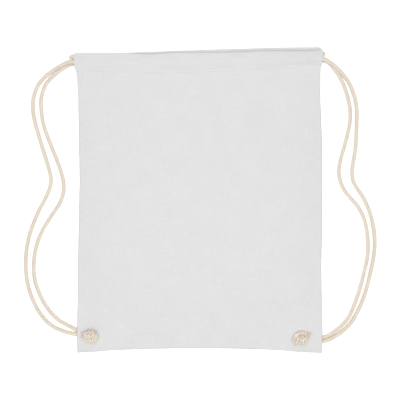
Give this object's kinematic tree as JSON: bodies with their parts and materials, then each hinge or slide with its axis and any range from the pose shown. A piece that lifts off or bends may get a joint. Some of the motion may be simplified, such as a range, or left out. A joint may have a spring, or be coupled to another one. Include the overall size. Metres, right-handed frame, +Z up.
{
  "type": "drawstring backpack",
  "caption": "Flat cotton drawstring backpack with a cord casing at the mouth, shoulder cords through eyelets at the bottom corners, and knots.",
  "frame": {"origin": "on the floor under the middle of the flat bag, without its cords", "axes": "+Y from the bottom edge towards the mouth, +Z up from the back panel to the front panel, +X across the bag"},
  "size_m": [0.5384, 0.4637, 0.0271],
  "materials": {
    "cotton": "matte",
    "cord": "matte",
    "metal": "satin"
  },
  "bodies": {
    "bag": {"back_panel": "cotton", "back_casing": "cotton", "front_panel_lower": "cotton", "left_side_seam": "cotton", "right_side_seam": "cotton", "bottom_seam": "cotton", "left_corner_patch": "cotton", "right_corner_patch": "cotton", "left_eyelet": "metal", "right_eyelet": "metal", "left_eyelet_washer": "metal", "right_eyelet_washer": "metal", "left_cord_in_back_casing": "cord", "right_cord_in_back_casing": "cord", "left_cord_turn": "cord", "right_cord_turn": "cord", "left_outer_cord_end": "cord", "left_inner_cord_end": "cord", "right_outer_cord_end": "cord", "right_inner_cord_end": "cord"},
    "front": {"front_panel": "cotton", "front_casing": "cotton", "left_cord_in_front_casing": "cord", "right_cord_in_front_casing": "cord"},
    "left_strap": {"left_outer_strand": "cord", "left_inner_strand": "cord"},
    "right_strap": {"right_outer_strand": "cord", "right_inner_strand": "cord"},
    "left_knotted_end": {"left_knot": "cord"},
    "right_knotted_end": {"right_knot": "cord"}
  },
  "joints": [
    {"name": "mouth_open", "type": "hinge", "parent": "bag", "child": "front", "pos_m": [0, -0.155, 0.009], "axis": [1, 0, 0], "range_deg": [0, 10]},
    {"name": "left_strap_swing", "type": "hinge", "parent": "bag", "child": "left_strap", "pos_m": [-0.18815, -0.2043, 0.0054], "axis": [0, 0.9997, 0.0243], "range_deg": [0, 90]},
    {"name": "right_strap_swing", "type": "hinge", "parent": "bag", "child": "right_strap", "pos_m": [0.18815, -0.2152, 0.0054], "axis": [0, -0.9997, -0.0235], "range_deg": [0, 90]},
    {"name": "left_knot_lift", "type": "slide", "parent": "bag", "child": "left_knotted_end", "axis": [0, 0, 1], "range_m": [0, 0.015]},
    {"name": "right_knot_lift", "type": "slide", "parent": "bag", "child": "right_knotted_end", "axis": [0, 0, 1], "range_m": [0, 0.015]}
  ]
}
